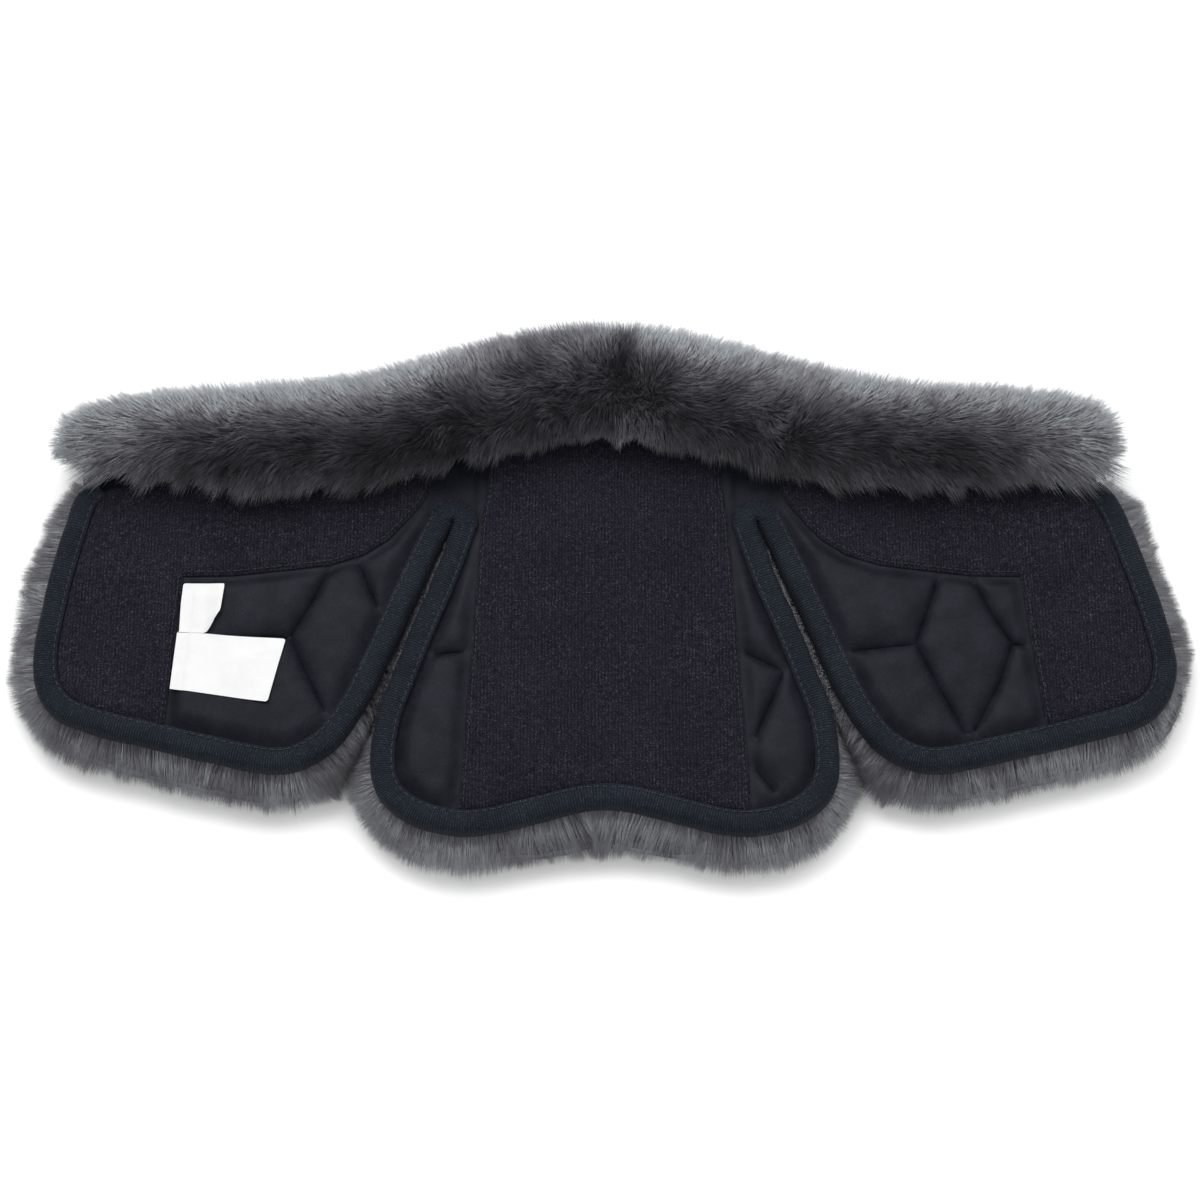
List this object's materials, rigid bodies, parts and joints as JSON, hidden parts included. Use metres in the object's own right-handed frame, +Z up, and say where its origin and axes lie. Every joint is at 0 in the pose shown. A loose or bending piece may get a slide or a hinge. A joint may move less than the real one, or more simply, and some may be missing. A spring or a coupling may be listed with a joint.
{
  "type": "lambskin girth cover",
  "caption": "Sheepskin sleeve for an anatomic short girth: three hook-and-loop flaps and a rolled fur edge, lying on its wool.",
  "frame": {"origin": "middle of the bounding box, on the surface it lies on", "axes": "+X along the rolled edge to the right wing, +Y from the flaps to the rolled edge, +Z up from the wool to the lining"},
  "size_m": [0.5361, 0.256, 0.058],
  "materials": {
    "wool": "dense clipped wool, dark at the root and lighter at the tip",
    "skin": "suede side of the skin",
    "wadding": "non-woven wadding",
    "lining": "quilted satin cotton",
    "loop": "brushed loop fabric for hook-and-loop",
    "tape": "ribbed binding tape",
    "thread": "polyester sewing thread",
    "filling": "soft foam strip",
    "label": "white woven satin label"
  },
  "bodies": {
    "band": {"band_wool": "wool", "band_wadding": "wadding", "band_lining": "lining", "left_band_loop_panel": "loop", "centre_band_loop_panel": "loop", "right_band_loop_panel": "loop", "left_roll_wool": "wool", "left_roll_skin": "skin", "left_roll_filling": "filling", "left_slit_binding": "tape", "left_band_binding": "tape", "right_roll_wool": "wool", "right_roll_skin": "skin", "right_roll_filling": "filling", "right_slit_binding": "tape", "right_band_binding": "tape"},
    "left_flap": {"left_flap_wool": "wool", "left_flap_skin": "skin", "left_flap_wadding": "wadding", "left_flap_lining": "lining", "left_flap_loop_panel": "loop", "left_flap_binding": "tape", "left_flap_stitching": "thread"},
    "centre_flap": {"centre_flap_wool": "wool", "centre_flap_skin": "skin", "centre_flap_wadding": "wadding", "centre_flap_lining": "lining", "centre_flap_loop_panel": "loop", "centre_flap_binding": "tape", "centre_flap_stitching": "thread"},
    "right_flap": {"right_flap_wool": "wool", "right_flap_skin": "skin", "right_flap_wadding": "wadding", "right_flap_lining": "lining", "right_flap_loop_panel": "loop", "right_flap_binding": "tape", "right_flap_stitching": "thread"},
    "size_label": {"size_label": "label"},
    "maker_label": {"maker_label": "label"}
  },
  "joints": [
    {"name": "left_flap_fold", "type": "hinge", "parent": "band", "child": "left_flap", "pos_m": [-0.157, 0.034, 0.0302], "axis": [-1, 0, 0], "range_deg": [0, 45], "deforming": ["left_flap_wool", "left_flap_binding"]},
    {"name": "centre_flap_fold", "type": "hinge", "parent": "band", "child": "centre_flap", "pos_m": [0, 0.034, 0.0302], "axis": [-1, 0, 0], "range_deg": [0, 45], "deforming": ["centre_flap_wool", "centre_flap_binding"]},
    {"name": "right_flap_fold", "type": "hinge", "parent": "band", "child": "right_flap", "pos_m": [0.157, 0.034, 0.0302], "axis": [-1, 0, 0], "range_deg": [0, 45], "deforming": ["right_flap_wool", "right_flap_binding"]},
    {"name": "size_label_lift", "type": "hinge", "parent": "left_flap", "child": "size_label", "pos_m": [-0.1894, 0.003, 0.0279], "axis": [-0.0693, -0.9976, 0], "range_deg": [0, 80]},
    {"name": "maker_label_lift", "type": "hinge", "parent": "left_flap", "child": "maker_label", "pos_m": [-0.1911, -0.0206, 0.0279], "axis": [-0.0702, -0.9975, 0], "range_deg": [0, 80]}
  ]
}
